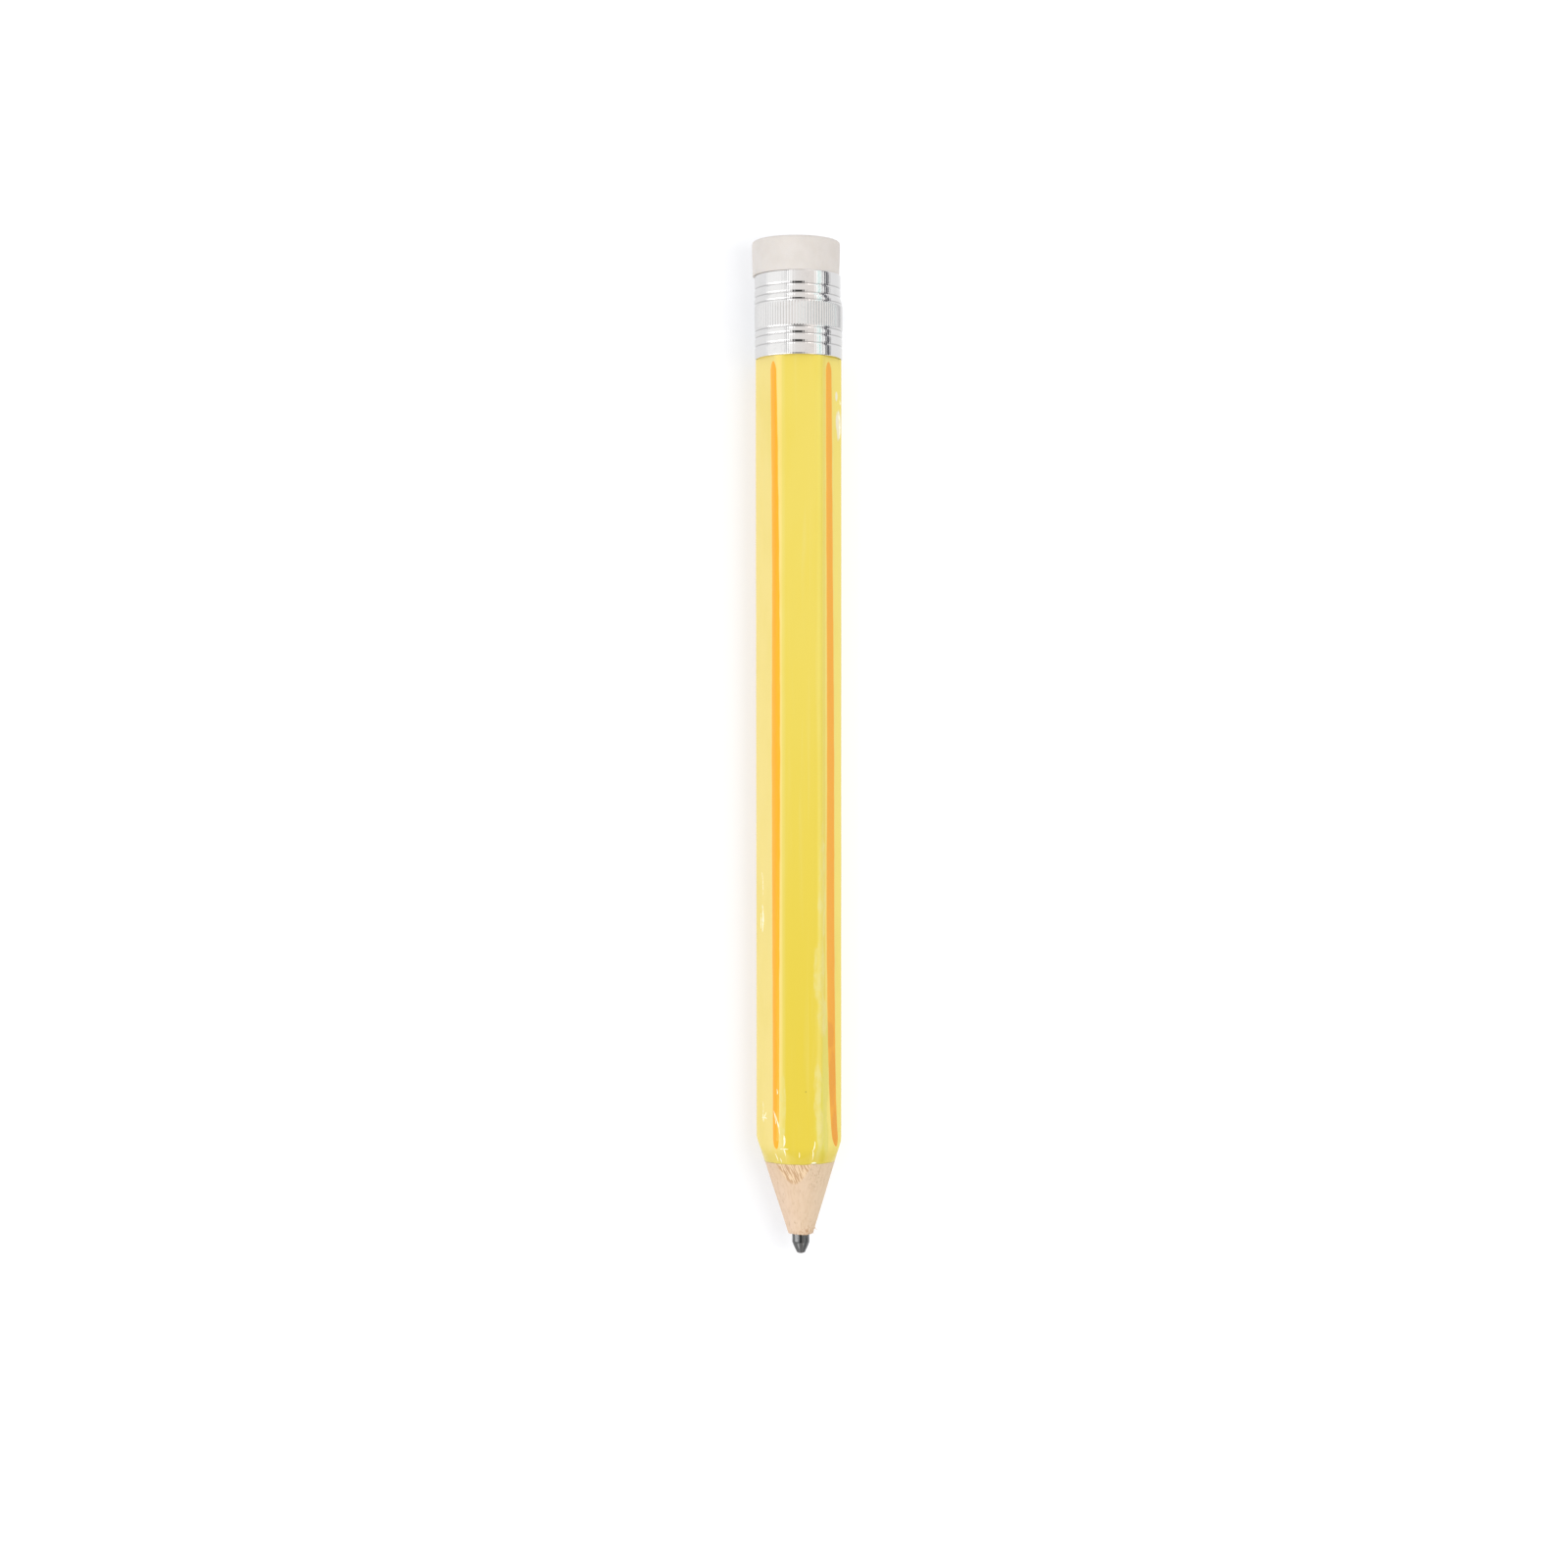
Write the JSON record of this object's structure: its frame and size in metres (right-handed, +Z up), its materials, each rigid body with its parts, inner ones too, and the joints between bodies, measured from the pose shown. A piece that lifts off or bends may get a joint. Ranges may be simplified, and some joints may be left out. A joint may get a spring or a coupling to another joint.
{
  "type": "giant wooden pencil",
  "caption": "Oversized hexagonal graphite pencil, sharpened, with a film-wrapped body, a fluted metal ferrule and an eraser; it lies flat.",
  "frame": {"origin": "under the middle of the pencil's length, below the axis of its body, at the height of its lowest point (the eraser's rim)", "axes": "+Y along the pencil towards the eraser, +Z up through the upper flat of the hexagon, +X to the right seen from above"},
  "size_m": [0.032, 0.356, 0.0311],
  "materials": {
    "eraser": "matte off-white eraser rubber",
    "ferrule": "bright polished, rolled grooves and fine flutes",
    "film": "glossy yellow printed film with orange stripes",
    "wood": "bare pale wood, fine straight grain",
    "graphite": "smooth dark graphite with a dull shine"
  },
  "bodies": {
    "root": {"eraser": "eraser", "ferrule": "ferrule", "film_wrap": "film", "upper_slat": "wood", "lower_slat": "wood", "graphite_core": "graphite"}
  },
  "joints": []
}
